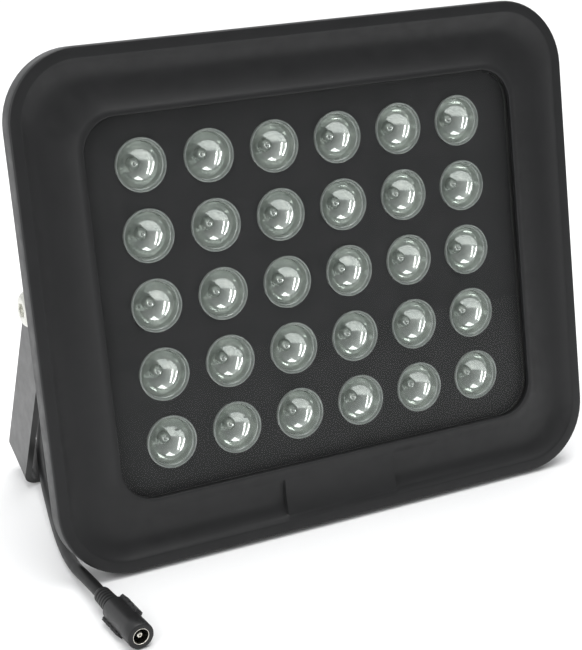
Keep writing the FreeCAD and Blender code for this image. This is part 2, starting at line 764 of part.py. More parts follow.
def drill_housing(body, cover_corner, board_places):
    """Drills the holes for the frame's, cover's, board's and driver's screws and for the wires."""
    through = face_sketch(body, "flange_holes_outline", FLANGE_FRONT)
    circles(through, frame_screw_places(), "frame_thread + hole_gap")
    pocket(body, "flange_holes", through, "flange_thick")
    covers = face_sketch(body, "cover_threads_outline", BAY_BACK)
    circles(covers, four_corners(*cover_corner), "small_thread + thread_gap")
    pocket(body, "cover_threads", covers, "boss_thread_depth", forwards=True)
    boards = face_sketch(body, "board_threads_outline", FLOOR_FRONT)
    circles(boards, board_places, "small_thread + thread_gap")
    pocket(body, "board_threads", boards, "small_thread_depth")
    posts = face_sketch(body, "post_threads_outline", POSTS_BACK)
    circles(posts, driver_places(), "small_thread + thread_gap")
    pocket(body, "post_threads", posts, "small_thread_depth", forwards=True)
    wires = face_sketch(body, "wire_hole_outline", FLOOR_FRONT)
    circles(wires, [("wire_hole_across", "0")], "wire_hole")
    pocket(body, "wire_hole", wires, "floor_thick")


def driver_places():
    """Returns the places of the four posts under the driver's board."""
    return four_corners("(driver_width / 2 - driver_screw_inset)", "(driver_height / 2 - driver_screw_inset)")


def make_frame_joint():
    """The gasket between frame and housing, and the screws behind them."""
    outer = (
        "(frame_width - 2 * gasket_inset)",
        "(frame_height - 2 * gasket_inset)",
        "(frame_corner - gasket_inset / 2)",
    )
    inner = (OPENING[0], OPENING[1], "cavity_corner")
    ring("frame_gasket", outer, inner, "frame_depth", "gasket_thick", head)
    length = "flange_thick + gasket_thick + frame_thread_depth - edge_gap"
    screws("frame_screws", frame_screw_places(), FLANGE_BACK, FRAME_CAP, "frame_thread", length)


def make_cover():
    """The driver bay's cover, its seal and its screws."""
    corner = ("(bay_width / 2 - cover_screw_inset)", "(bay_height / 2 - cover_screw_inset)")
    places = four_corners(*corner)
    ring("cover_gasket", BAY, BAY_CAVITY, BAY_BACK, "cover_seal_thick", head)
    cover = slab("rear_cover", BAY, COVER_FRONT, "cover_thick", head)
    holes = face_sketch(cover, "cover_holes_outline", COVER_FRONT)
    circles(holes, places, "small_thread + hole_gap")
    circles(holes, [("gland_across", "gland_up")], "gland_thread + hole_gap / 2")
    pocket(cover, "cover_holes", holes, "cover_thick")
    seal = doc.getObject("cover_gasket")
    passes = face_sketch(seal, "cover_gasket_holes_outline", BAY_BACK)
    circles(passes, places, "small_thread + hole_gap")
    pocket(seal, "cover_gasket_holes", passes, "cover_seal_thick")
    length = "cover_thick + cover_seal_thick + boss_thread_depth - edge_gap"
    screws("cover_screws", places, COVER_BACK, SMALL_CAP, "small_thread", length)


def make_driver():
    """The driver's board, what stands on it, its screws and its wires."""
    places = driver_places()
    size = ("driver_width", "driver_height", "driver_screw_inset / 2")
    board = slab("driver_board", size, POSTS_BACK, "driver_thick", head)
    holes = face_sketch(board, "driver_holes_outline", POSTS_BACK)
    circles(holes, places, "small_thread + hole_gap")
    pocket(board, "driver_holes", holes, "driver_thick")
    length = "driver_thick + small_thread_depth - edge_gap"
    screws("driver_screws", places, DRIVER_BACK, SMALL_CAP, "small_thread", length)
    coil = [("inductor_across", "inductor_up")]
    discs("driver_inductor", coil, "inductor_radius", DRIVER_BACK, "inductor_height")
    can = [("inductor_across", "-inductor_up")]
    discs("driver_capacitor", can, "capacitor_radius", DRIVER_BACK, "capacitor_height")
    size = ("chip_width", "chip_height", "chip_side")
    chip = block("chip", size, ("-inductor_up", "inductor_up"), DRIVER_BACK)
    group("driver_chip", [chip], head)
    make_terminals_and_wires()


def discs(label, centres, radius, front, length):
    """Makes a piece of one or more equal round columns that run backwards."""
    body = new_body(label)
    sketch = face_sketch(body, label + "_outline", front)
    circles(sketch, centres, radius)
    pad(body, label + "_pad", sketch, length)
    return finish(body, label, head)


def make_terminals_and_wires():
    """The terminal block under the gland, the cord's two leads and the board's two wires."""
    size = ("terminal_width", "terminal_height", "terminal_depth")
    body = block("terminal_body", size, ("gland_across", "gland_up"), DRIVER_BACK)
    top = "(%s + terminal_height)" % DRIVER_BACK
    seat = "(%s - wire_seat)" % top
    sides = {"positive": "wire_pitch / 2", "negative": "-wire_pitch / 2"}
    holes = []
    for name, side in sides.items():
        place = ("gland_across + " + side, seat, "gland_up")
        holes.append(cylinder("terminal_hole_" + name, "wire_radius + hole_gap", "wire_seat", place))
    group("terminal_block", [cut("terminal_drilled", body, join("terminal_holes", holes))], head)
    for name, side in sides.items():
        lead = [("gland_across + " + side, "gland_up")]
        discs("lead_wire_" + name, lead, "wire_radius", seat, "%s - %s" % (SEAL_FRONT, seat))
        core = [("wire_hole_across", side + " / 2")]
        discs("board_wire_" + name, core, "wire_radius", BOARD_BACK, "%s - %s" % (POSTS_BACK, BOARD_BACK))


def make_gland():
    """The gland: body through the cover, locknut inside, rubber seal and crowned nut outside."""
    centre = ("gland_across", "gland_up")

    def at(depth):
        return (centre[0], depth, centre[1])

    inner_end = "(%s - gland_inner_length)" % COVER_BACK
    outer_end = "(%s + gland_outer_length)" % COLLAR_BACK
    length = "%s - %s" % (outer_end, inner_end)
    collar = hexagon("gland_collar", "gland_flats", "gland_collar", at(COVER_BACK))
    thread = cylinder("gland_thread", "gland_thread", length, at(inner_end))
    bore = cylinder("gland_bore", "gland_bore", length, at(inner_end))
    group("gland_body", [cut("gland_shell", join("gland_solid", [collar, thread]), bore)], head)
    lock = at("%s - locknut_thick" % COVER_FRONT)
    locknut = hexagon("locknut_solid", "locknut_flats", "locknut_thick", lock)
    locknut_bore = cylinder("locknut_bore", "gland_thread + thread_gap", "locknut_thick", lock)
    group("gland_locknut", [cut("locknut_ring", locknut, locknut_bore)], head)
    make_gland_nut(at)
    length = "%s - %s" % (NUT_SHOULDER, SEAL_FRONT)
    column = cylinder("seal_column", "gland_bore - thread_gap", length, at(SEAL_FRONT))
    slim = "cord_diameter / 2 + nut_wall - thread_gap"
    neck = cylinder("seal_neck", slim, "nut_crown_length", at(NUT_SHOULDER))
    group("gland_seal", [join("seal_solid", [column, neck])], head)


def make_gland_nut(at):
    """The nut that presses the seal: flats, then a crown that narrows to the cord."""
    flats = hexagon("nut_flats", "gland_flats", "nut_hex_length", at(NUT_FRONT))
    crown = doc.addObject("Part::Cone", "nut_crown")
    crown.Placement = Placement(Vector(), Rotation(Vector(1, 0, 0), -90))
    bind(crown, {"Radius1": "gland_flats / 2", "Radius2": "nut_mouth", "Height": "nut_crown_length"})
    place = at(NUT_SHOULDER)
    bind(crown, {"Placement.Base.x": place[0], "Placement.Base.y": place[1], "Placement.Base.z": place[2]})
    bore = cylinder("nut_bore", "gland_thread + thread_gap", "nut_hex_length", at(NUT_FRONT))
    mouth = cylinder("nut_mouth_hole", "cord_diameter / 2 + nut_wall", "nut_crown_length", at(NUT_SHOULDER))
    solid = join("nut_solid", [flats, crown])
    group("gland_nut", [cut("nut_shell", solid, join("nut_hollow", [bore, mouth]))], head)


def washer(label, outer, inner, start, thick, place):
    """Makes a flat washer on the pivot's axis."""
    body = new_body(label)
    sketch = sketch_on(body, label + "_outline", "YZ_Plane", start)
    circles(sketch, [("0", "0")], outer)
    circles(sketch, [("0", "0")], inner)
    pad(body, label + "_pad", sketch, thick, backwards=False)
    return finish(body, label, place)


def make_pivot(side_name, side):
    """One side's friction washer, toothed washer and bolt."""
    place = pivot_place(side)
    clear = "pivot_thread + pivot_gap"
    washer("friction_washer_" + side_name, "friction_radius", clear, FRICTION_INNER, "friction_thick", place)
    toothed = washer("toothed_washer_" + side_name, "tooth_radius", clear, WASHER_INNER, "tooth_thick", place)
    cut_teeth(toothed, side_name)
    make_bolt(side_name, place)


def cut_teeth(body, side_name):
    """Cuts one notch in a washer's rim and repeats it all round."""
    notch = sketch_on(body, "notch_outline_" + side_name, "YZ_Plane", WASHER_INNER)
    root = "(tooth_radius - tooth_height)"
    wide = "(tooth_radius + 1) * sin(90 / tooth_count)"
    narrow = root + " * sin(60 / tooth_count)"
    high = "(tooth_radius + 1)"
    outline(notch, [("-" + narrow, root), (narrow, root), (wide, high), ("-" + wide, high)])
    gap = pocket(body, "notch_" + side_name, notch, "tooth_thick", forwards=True)
    teeth = feature(body, "PartDesign::PolarPattern", "notches_" + side_name)
    teeth.Originals = [gap]
    axis = [item for item in body.Origin.OriginFeatures if item.Role == "X_Axis"][0]
    teeth.Axis = (axis, [""])
    teeth.Angle = 360
    teeth.Occurrences = int(cell("tooth_count"))
    body.Tip = teeth


def make_bolt(side_name, place):
    """A button-head bolt with a hexagonal socket, its shank towards the lamp."""
    label = "pivot_bolt_" + side_name
    body = new_body(label)
    rim = sketch_on(body, label + "_rim", "YZ_Plane", HEAD_INNER)
    circles(rim, [("0", "0")], "bolt_head_radius")
    cap = pad(body, label + "_cap", rim, "bolt_head_height", backwards=False)
    doc.recompute()
    outer = max(edge.BoundBox.XMax for edge in cap.Shape.Edges)
    rims = ["Edge%d" % (i + 1) for i, edge in enumerate(cap.Shape.Edges) if edge.BoundBox.XMin > outer - 0.01]
    crown = feature(body, "PartDesign::Chamfer", label + "_crown")
    crown.Base = (cap, rims)
    bind(crown, {"Size": "bolt_crown"})
    root = sketch_on(body, label + "_root", "YZ_Plane", HEAD_INNER)
    circles(root, [("0", "0")], "pivot_thread")
    pad(body, label + "_shank", root, "bolt_reach", backwards=True)
    socket = sketch_on(body, label + "_socket", "YZ_Plane", HEAD_INNER + " + bolt_head_height")
    reach = "bolt_socket / 2 / cos(30)"
    turns = [30 + 60 * index for index in range(6)]
    outline(socket, [("%s * cos(%d)" % (reach, turn), "%s * sin(%d)" % (reach, turn)) for turn in turns])
    pocket(body, label + "_drive", socket, "bolt_socket_depth", forwards=False)
    return finish(body, label, place)


def make_bracket():
    """The strap bent to a U, with round arm ends, two pivot holes and three holes in its crossbar."""
    body = new_body("mounting_bracket")
    strap = sketch_on(body, "strap_profile", "XZ_Plane", "0")
    draw_strap(strap)
    bend = pad(body, "strap", strap, "strap_width")
    bend.Midplane = True
    for name, sign in (("right", ""), ("left", "-")):
        end = sketch_on(body, name + "_end_outline", "YZ_Plane", sign + ARM_INNER)
        circles(end, [("0", "0")], "strap_width / 2")
        pad(body, name + "_end", end, "strap_thick", backwards=sign == "-")
    pivot = sketch_on(body, "pivot_holes_outline", "YZ_Plane", ARM_OUTER)
    circles(pivot, [("0", "0")], "pivot_thread + pivot_gap")
    pocket(body, "pivot_holes", pivot, "2 * " + ARM_OUTER)
    bar = sketch_on(body, "bar_holes_outline", "XY_Plane", "-(bracket_length - strap_thick)")
    circles(bar, [("0", "0")], "centre_hole / 2")
    circles(bar, [("-side_hole_pitch / 2", "0"), ("side_hole_pitch / 2", "0")], "side_hole / 2")
    pocket(body, "bar_holes", bar, "strap_thick")
    return finish(body, "mounting_bracket", bracket_place())


def strap_line(sketch, side, base, radius):
    """Draws one face of the strap: arm, bend, crossbar, bend and arm."""
    top_left, low_left = Vector(-side, 0, 0), Vector(-side, base + radius, 0)
    top_right, low_right = Vector(side, 0, 0), Vector(side, base + radius, 0)
    bar_left, bar_right = Vector(radius - side, base, 0), Vector(side - radius, base, 0)
    left = Part.Circle(bar_left + Vector(0, radius, 0), Vector(0, 0, 1), radius)
    right = Part.Circle(bar_right + Vector(0, radius, 0), Vector(0, 0, 1), radius)
    first = sketch.addGeometry(Part.LineSegment(top_left, low_left))
    sketch.addGeometry(Part.ArcOfCircle(left, math.pi, 1.5 * math.pi))
    sketch.addGeometry(Part.LineSegment(bar_left, bar_right))
    sketch.addGeometry(Part.ArcOfCircle(right, 1.5 * math.pi, 2 * math.pi))
    sketch.addGeometry(Part.LineSegment(low_right, top_right))
    for index in range(first, first + 4):
        sketch.addConstraint(Sketcher.Constraint("Tangent", index, 2, index + 1, 1))
    sketch.addConstraint(Sketcher.Constraint("Vertical", first))
    sketch.addConstraint(Sketcher.Constraint("Horizontal", first + 2))
    sketch.addConstraint(Sketcher.Constraint("Vertical", first + 4))
    sketch.addConstraint(Sketcher.Constraint("Equal", first + 1, first + 3))
    return first


def draw_strap(sketch):
    """Draws the strap's U with its two faces and closes it at the arms' ends."""
    half, low, bend, thick = 50.0, -40.0, 6.0, 2.0
    outer = strap_line(sketch, half, low, bend)
    inner = strap_line(sketch, half - thick, low + thick, bend - thick)
    for sign, edge, end in (("-", 0, 1), ("", 4, 2)):
        start = sketch.getPoint(outer + edge, end)
        stop = sketch.getPoint(inner + edge, end)
        lid = sketch.addGeometry(Part.LineSegment(start, stop))
        sketch.addConstraint(Sketcher.Constraint("Coincident", lid, 1, outer + edge, end))
        sketch.addConstraint(Sketcher.Constraint("Coincident", lid, 2, inner + edge, end))
        pin(sketch, outer + edge, end, sign + ARM_OUTER, "0")
        pin(sketch, inner + edge, end, sign + ARM_INNER, "0")
    constrain(sketch, "-bracket_length", "DistanceY", -1, 1, outer + 2, 1, low)
    constrain(sketch, "-(bracket_length - strap_thick)", "DistanceY", -1, 1, inner + 2, 1, low + thick)
    constrain(sketch, "strap_bend", "Radius", outer + 1, bend)
    constrain(sketch, "strap_bend - strap_thick", "Radius", inner + 1, bend - thick)


def make_jack():
    """The jack: a moulded body with a grip, a metal sleeve in its socket and a pin in the middle."""
    place = jack_place()
    end = "(relief_length + jack_length)"
    floor = "(%s - socket_depth)" % end
    relief = doc.addObject("Part::Cone", "relief")
    bind(relief, {"Radius1": "relief_start", "Radius2": "relief_end", "Height": "relief_length"})
    barrel = cylinder("barrel", "jack_radius", "jack_length", ("0", "0", "relief_length"), "z")
    grip = doc.addObject("Part::Box", "grip")
    roll = Rotation(Vector(0, 0, 1), cell("wing_roll"))
    corner = roll.multVec(Vector(-cell("wing_span") / 2, -cell("wing_thick") / 2, 0))
    grip.Placement = Placement(corner, roll)
    bind(grip, {"Length": "wing_span", "Width": "wing_thick", "Height": "wing_length"})
    bind(grip, {"Placement.Base.z": "relief_length"})
    solid = join("jack_solid", [relief, barrel, grip])
    bore = cylinder("socket_bore", "socket_radius + sleeve_wall", "socket_depth", ("0", "0", floor), "z")
    group("jack_body", [cut("jack_shell", solid, bore)], place)
    length = "socket_depth - socket_recess"
    sleeve = cylinder("sleeve_solid", "socket_radius + sleeve_wall", length, ("0", "0", floor), "z")
    hollow = cylinder("sleeve_hollow", "socket_radius", length, ("0", "0", floor), "z")
    group("jack_sleeve", [cut("sleeve_tube", sleeve, hollow)], place)
    stem = cylinder("pin_stem", "pin_radius", "socket_depth - pin_recess", ("0", "0", floor), "z")
    group("jack_pin", [stem], place)


def cord_points():
    """Returns the cord's route from the gland's mouth to the jack."""
    seal = doc.getObject("gland_seal")
    axis = head.Rotation.multVec(Vector(0, 1, 0))
    mouth = max((face.CenterOfMass for face in seal.Shape.Faces), key=axis.dot)
    first = mouth + axis * CORD_FIRST_RUN
    return [mouth, first] + [Vector(*point) for point in CORD_ROUTE] + [jack_place().Base]


def rounded_path(points):
    """Joins the straight runs between points with tangent arcs."""
    edges = []
    start = points[0]
    for before, corner, after in zip(points, points[1:], points[2:]):
        back = before - corner
        ahead = after - corner
        half_turn = (math.pi - back.getAngle(ahead)) / 2
        setback = ARC_SHARE * min(back.Length, ahead.Length)
        radius = setback / math.tan(half_turn)
        print("cord arc radius %.1f" % radius)
        entry = corner + back * (setback / back.Length)
        leave = corner + ahead * (setback / ahead.Length)
        inward = back * (1 / back.Length) + ahead * (1 / ahead.Length)
        inward.normalize()
        middle = corner + inward * (radius / math.cos(half_turn) - radius)
        edges.append(Part.LineSegment(start, entry))
        edges.append(Part.Arc(entry, middle, leave))
        start = leave
    edges.append(Part.LineSegment(start, points[-1]))
    return Part.Wire([edge.toShape() for edge in edges])


def make_cord():
    """The cord: one round tube along its rounded path."""
    points = cord_points()
    path = rounded_path(points)
    radius = cell("cord_diameter") / 2
    section = Part.Wire([Part.Circle(points[0], points[1] - points[0], radius).toShape()])
    tube = doc.addObject("Part::Feature", "power_cord")
    tube.Shape = path.makePipeShell([section], True, False)
    expected = math.pi * radius * radius * path.Length
    print("cord length %.1f volume ratio %.4f" % (path.Length, tube.Shape.Volume / expected))
    print("cord first points", [tuple(round(value, 2) for value in point) for point in points[:2]])
    return finish(tube, "power_cord", Placement())


def centre_over_origin():
    """Slides the lamp so that its box, without the cord, is centred over the origin."""
    boxes = [piece.Shape.BoundBox for piece in pieces]
    shift = Vector(0, -(min(box.YMin for box in boxes) + max(box.YMax for box in boxes)) / 2, 0)
    for piece in pieces:
        piece.Placement = Placement(piece.Placement.Base + shift, piece.Placement.Rotation)
    doc.recompute()
    return shift


def print_places():
    """Prints the places that the record states, in metres."""
    bracket = doc.getObject("mounting_bracket").Placement
    bar = -cell("bracket_length") + cell("strap_thick") / 2
    places = {
        "pivot": bracket.Base,
        "crossbar centre": bracket.multVec(Vector(0, 0, bar)),
        "crossbar axis": bracket.Rotation.multVec(Vector(0, 0, 1)) * 1000,
        "jack start": jack_place().Base,
        "jack end": jack_place().multVec(Vector(0, 0, cell("relief_length") + cell("jack_length"))),
        "face axis": head.Rotation.multVec(Vector(0, 1, 0)) * 1000,
    }
    for name, point in places.items():
        print("%s %s" % (name, [round(value / 1000, 5) for value in point]))


def check_and_write():
    """Stops if any object failed, then writes one file for each sub-part."""
    for item in doc.Objects:
        if "Invalid" in item.State or "Error" in item.State:
            raise RuntimeError(item.Name + " failed: " + str(item.State))
    for piece in pieces:
        if piece.Shape.isNull() or not piece.Shape.isValid() or not piece.Shape.Solids:
            raise RuntimeError(piece.Label + " has no valid solid")
        piece.Shape.exportStep("parts/" + piece.Label + ".step")


fill_sheet()
head = head_place()
make_front_frame()
make_window_stack()
make_rear_housing(make_led_board())
make_cooling_fins()
make_frame_joint()
make_cover()
make_driver()
make_gland()
for side_name, side in (("right", 1), ("left", -1)):
    make_pivot(side_name, side)
make_bracket()
doc.recompute()
shift = centre_over_origin()
head.Base = head.Base + shift
make_jack()
doc.recompute()
make_cord()
doc.recompute()
check_and_write()
print("shift", round(shift.y, 3))
print_places()
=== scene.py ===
"""Looks of the infrared illuminator: a lamp on a strap bracket, with a short cord and its socket."""
import json
import math

import bmesh
import bpy
from mathutils import Matrix, Vector


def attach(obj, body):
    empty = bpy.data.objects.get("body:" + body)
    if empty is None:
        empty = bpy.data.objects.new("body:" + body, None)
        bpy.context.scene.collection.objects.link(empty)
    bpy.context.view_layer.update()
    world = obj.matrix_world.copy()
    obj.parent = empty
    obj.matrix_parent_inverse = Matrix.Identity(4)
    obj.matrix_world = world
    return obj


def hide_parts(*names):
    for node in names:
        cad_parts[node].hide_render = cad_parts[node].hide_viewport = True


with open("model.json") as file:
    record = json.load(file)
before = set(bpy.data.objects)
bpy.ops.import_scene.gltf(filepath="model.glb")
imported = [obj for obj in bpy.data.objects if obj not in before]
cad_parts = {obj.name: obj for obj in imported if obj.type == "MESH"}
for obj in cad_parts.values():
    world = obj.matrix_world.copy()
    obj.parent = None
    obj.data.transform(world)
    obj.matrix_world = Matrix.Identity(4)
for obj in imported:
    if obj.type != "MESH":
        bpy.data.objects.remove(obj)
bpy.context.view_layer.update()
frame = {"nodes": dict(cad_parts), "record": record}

MM = 0.001
TOUCH = 0.0005 * MM
nodes = frame["nodes"]
slot_of = {item["node"]: item["material_slot"] for item in frame["record"]["subparts"]}

# The lamp leans back: its own frame has x to the right, y from the rim backwards and z up the face.
LEAN = math.radians(11.67)
RIM_CENTRE = Vector((0.0, -33.112, 92.94)) * MM
LAMP = Matrix.Translation(RIM_CENTRE) @ Matrix.Rotation(-LEAN, 4, "X")

# Front frame: distances run inwards from its outer edge, depths backwards from its lip.
FRAME_WIDTH = 225.0 * MM
FRAME_HEIGHT = 186.6 * MM
FRAME_DEPTH = 7.7 * MM
FRAME_CORNER = 26.0 * MM
FRAME_ARC_STEPS = 14
EDGE_ROUND = 0.8 * MM
BACK_BEVEL = 0.3 * MM
LIP = 4.2 * MM
BROW = 0.12 * MM
TROUGH_REACH = 12.0 * MM
TROUGH_DEPTH = 3.2 * MM
FALL_STEPS = 9
RISE_STEPS = 11
CREST = 23.7 * MM
OPENING_INSET = 24.95 * MM
OPENING_CORNER = 13.0 * MM
OPENING_ROUND = 0.35 * MM
OPENING_WIDTH = FRAME_WIDTH - 2 * OPENING_INSET
OPENING_HEIGHT = FRAME_HEIGHT - 2 * OPENING_INSET
WINDOW_RECESS = 1.6 * MM
REBATE_REACH = 3.2 * MM

# Window pane
PANE_REACH = 2.9 * MM
PANE_THICK = 2.0 * MM
PANE_BEVEL = 0.35 * MM

# Blank pad below the window
PAD_HALF = 23.5 * MM
PAD_BLEND = 0.5 * MM
PAD_EDGE = 0.15 * MM
PAD_SAG = 1.5 * MM

# Lenses
COLUMNS, ROWS = 6, 5
LENS_RADIUS = 9.7 * MM
LENS_LENGTH = 10.2 * MM
LENS_GAP = 0.2 * MM
SIDE_MARGIN = 12.35 * MM
END_MARGIN = 8.45 * MM
PITCH_ACROSS = (OPENING_WIDTH - 2 * SIDE_MARGIN - 2 * LENS_RADIUS) / (COLUMNS - 1)
PITCH_UP = (OPENING_HEIGHT - 2 * END_MARGIN - 2 * LENS_RADIUS) / (ROWS - 1)
LENS_FRONT = WINDOW_RECESS + PANE_THICK + LENS_GAP
LENS_BACK = LENS_FRONT + LENS_LENGTH
LENS_STEPS = 44
LEDGE = LENS_FRONT + 1.5 * MM
BOWL_TOP = 8.35 * MM
BOWL_BOTTOM = LENS_BACK - 1.3 * MM
CUP_RADIUS = 10.0 * MM
CUP_STEPS = 12
POST_RADIUS = 2.3 * MM
POST_FRONT = 9.6 * MM

# Dimple and coned shoulder of the lens's post, in mm: radius, and depth behind the post's front.
POST_TIP = [(0.0, 0.5), (0.4, 0.42), (0.75, 0.12), (0.9, 0.0), (1.05, 0.04),
            (1.4, 0.33), (1.8, 0.71), (2.15, 1.1), (2.3, 1.5)]
# Stepped rim of the lens from its ledge outwards, in mm: radius, and depth behind the lens's front.
LENS_RIM = [(8.75, 1.4), (8.95, 1.15), (9.0, 0.35), (9.08, 0.1),
            (9.25, 0.0), (9.5, 0.0), (9.65, 0.06), (9.7, 0.22)]

# Pivot and its bolts
PIVOT_DEPTH = 41.5 * MM
BRACKET_INSET = 14.0 * MM
WASHER_THICK = 0.8 * MM
WASHER_GAP = 0.05 * MM
HEAD_SEAT = FRAME_WIDTH / 2 - BRACKET_INSET + WASHER_THICK + WASHER_GAP
BOLT_RADIUS = 7.0 * MM
BOLT_HEIGHT = 4.4 * MM
BOLT_SHANK = 4.0 * MM
BOLT_REACH = 15.0 * MM
CROWN_START = 0.9 * MM
CROWN_FLAT = 3.7 * MM
CROWN_STEPS = 8
SOCKET_BRIM = 3.25 * MM
SOCKET_FLATS = 5.0 * MM
SOCKET_SINK = 1.1 * MM

# Cord: its route runs from the gland to the jack, in mm.
CORD_WIDTH = 4.4 * MM
CORD_POINTS = [
    (-20.0, 41.1, 59.22), (-20.0, 55.79, 56.19), (-27.5, 69.9, 51.8), (-42.0, 76.9, 46.5),
    (-60.0, 74.4, 37.5), (-76.0, 62.4, 26.5), (-87.0, 44.9, 15.0), (-93.0, 24.9, 6.8),
    (-97.4, 4.4, 2.9), (-102.4, -17.1, 2.9), (-105.8, -38.6, 3.0), (-105.75, -54.61, 5.0),
    (-105.2, -66.1, 5.0),
]

# Jack: it is drawn along z, from the cord's end of its bend relief.
JACK_START = Vector(CORD_POINTS[-1]) * MM
JACK_TURN = math.radians(2.74)
RELIEF_LENGTH = 10.5 * MM
BARREL_LENGTH = 20.8 * MM
JACK_END = RELIEF_LENGTH + BARREL_LENGTH
RIBS = 5
RIB_START = 1.5 * MM
RIB_PITCH = 1.7 * MM
RIB_GROWTH = 0.07 * MM
RELIEF_RADIUS = 3.1 * MM
WING_ROLL = math.radians(43.0)
WING_ROOT = 3.4 * MM
WING_SPAN = 11.2 * MM
WING_THICK = 3.2 * MM
WING_LENGTH = 12.0 * MM
WING_BLOCKS = 4
WING_NOTCH = 0.45 * MM
WING_GROOVE = 0.55 * MM

# Sections of the bend relief, in mm: radius, which a rib counts from RELIEF_RADIUS, and reach.
RELIEF_START = [(0.0, 0.0), (2.75, 0.0), (3.0, 0.25), (3.1, 0.7)]
RIB = [(0.0, 0.0), (-0.12, 0.14), (-0.42, 0.26), (-0.42, 0.62), (-0.08, 0.78), (0.04, 0.92)]
RELIEF_END = [(3.4, -0.3), (3.45, 0.0)]
BARREL_START = [(4.0, 0.0), (4.45, 0.14), (4.65, 0.6)]
# Sections at the jack's open end, in mm: radius, and reach from that end.
BARREL_END = [(4.65, -5.6), (4.75, -5.2), (4.75, -0.5), (4.6, -0.15), (4.25, 0.0),
              (3.12, 0.0), (3.0, -0.12), (3.0, -11.0), (0.0, -11.0)]
SLEEVE = [(2.72, -11.0), (2.72, -0.14), (2.78, -0.06), (2.94, -0.06), (3.0, -0.14),
          (3.0, -11.0), (2.72, -11.0)]
PIN = [(0.0, -11.0), (1.05, -11.0), (1.05, -1.45), (0.95, -1.15), (0.7, -1.0),
       (0.42, -1.02), (0.36, -1.12), (0.36, -1.9), (0.0, -1.9)]

# Camera, which has the photograph's view from the left and above
CAMERA_AT = Vector((-0.27901, -0.53517, 0.30211))
CAMERA_SWING = math.radians(27.84)
CAMERA_TIP = math.radians(21.67)
CAMERA_LENS = 91.5
SENSOR_HEIGHT = 36.0

# Light
STRIP_DISTANCE = 1.3
STRIP_HEIGHT = 0.72
STRIP_LENGTH = 1.35
STRIP_POWER = 3.7
FLOOR_HALF = 3.0

# Satin powder coats: colour, roughness from and to, grain in mm, specular level.
POWDER_COATS = {
    "black_casting": ((0.0075, 0.0077, 0.0082), (0.42, 0.54), 0.22, 0.42),
    "bracket_paint": ((0.006, 0.0062, 0.0058), (0.34, 0.42), 0.3, 0.75),
}

# Turned or plated metals: colour, roughness from and to.
METALS = {
    "zinc_steel": ((0.55, 0.55, 0.54), (0.28, 0.42)),
    "bright_steel": ((0.62, 0.62, 0.575), (0.22, 0.34)),
    "socket_nickel": ((0.66, 0.64, 0.58), (0.15, 0.3)),
}

# Plain finishes: colour, spread of its shades, blots in mm, roughness from and to, then what else
# the finish has, with its grain and that grain's depth in mm.
PLAIN_FINISHES = {
    "lens_rim": ((0.24, 0.26, 0.245), 0.1, 2, (0.12, 0.25), dict(Metallic=0.4)),
    "plate_black": ((0.02, 0.0202, 0.0208), 0.1, 12, (0.6, 0.7), dict(Specular_IOR_Level=0.3)),
    "seal_rubber": ((0.012, 0.012, 0.012), 0.15, 4, (0.6, 0.75), dict(grain=0.2, depth=0.02)),
    "board_white": ((0.62, 0.63, 0.6), 0.04, 12, (0.35, 0.5), dict(grain=0.3, depth=0.01)),
    "heat_pad_grey": ((0.3, 0.32, 0.35), 0.06, 6, (0.6, 0.8), dict(grain=0.4, depth=0.02)),
    "washer_fibre": ((0.02, 0.02, 0.02), 0.2, 2, (0.6, 0.8), dict(grain=0.25, depth=0.03)),
    "gland_nylon": ((0.015, 0.015, 0.016), 0.1, 5, (0.35, 0.5), dict(grain=0.3, depth=0.015)),
    "driver_green": ((0.02, 0.12, 0.05), 0.1, 5, (0.3, 0.45), dict(grain=0.4, depth=0.01)),
    "driver_parts": ((0.03, 0.03, 0.03), 0.12, 3, (0.4, 0.55), dict(grain=0.3, depth=0.02)),
    "capacitor_sleeve": ((0.02, 0.03, 0.12), 0.1, 3, (0.2, 0.3), dict(grain=0.6, depth=0.01)),
    "terminal_green": ((0.04, 0.22, 0.07), 0.08, 3, (0.35, 0.45), dict(grain=0.4, depth=0.01)),
    "wire_red": ((0.4, 0.02, 0.015), 0.08, 2, (0.35, 0.45), dict(grain=0.3, depth=0.01)),
    "wire_black": ((0.02, 0.02, 0.02), 0.1, 2, (0.35, 0.45), dict(grain=0.3, depth=0.01)),
    "cord_black": ((0.0055, 0.0056, 0.0058), 0.12, 6, (0.36, 0.5),
                   dict(grain=0.25, depth=0.008, Specular_IOR_Level=0.3)),
    "plug_black": ((0.009, 0.009, 0.0094), 0.12, 4, (0.36, 0.5),
                   dict(grain=0.2, depth=0.012, Specular_IOR_Level=0.4)),
    "pale_floor": ((0.9, 0.9, 0.9), 0.01, 120, (0.7, 0.8), dict()),
}


# Materials


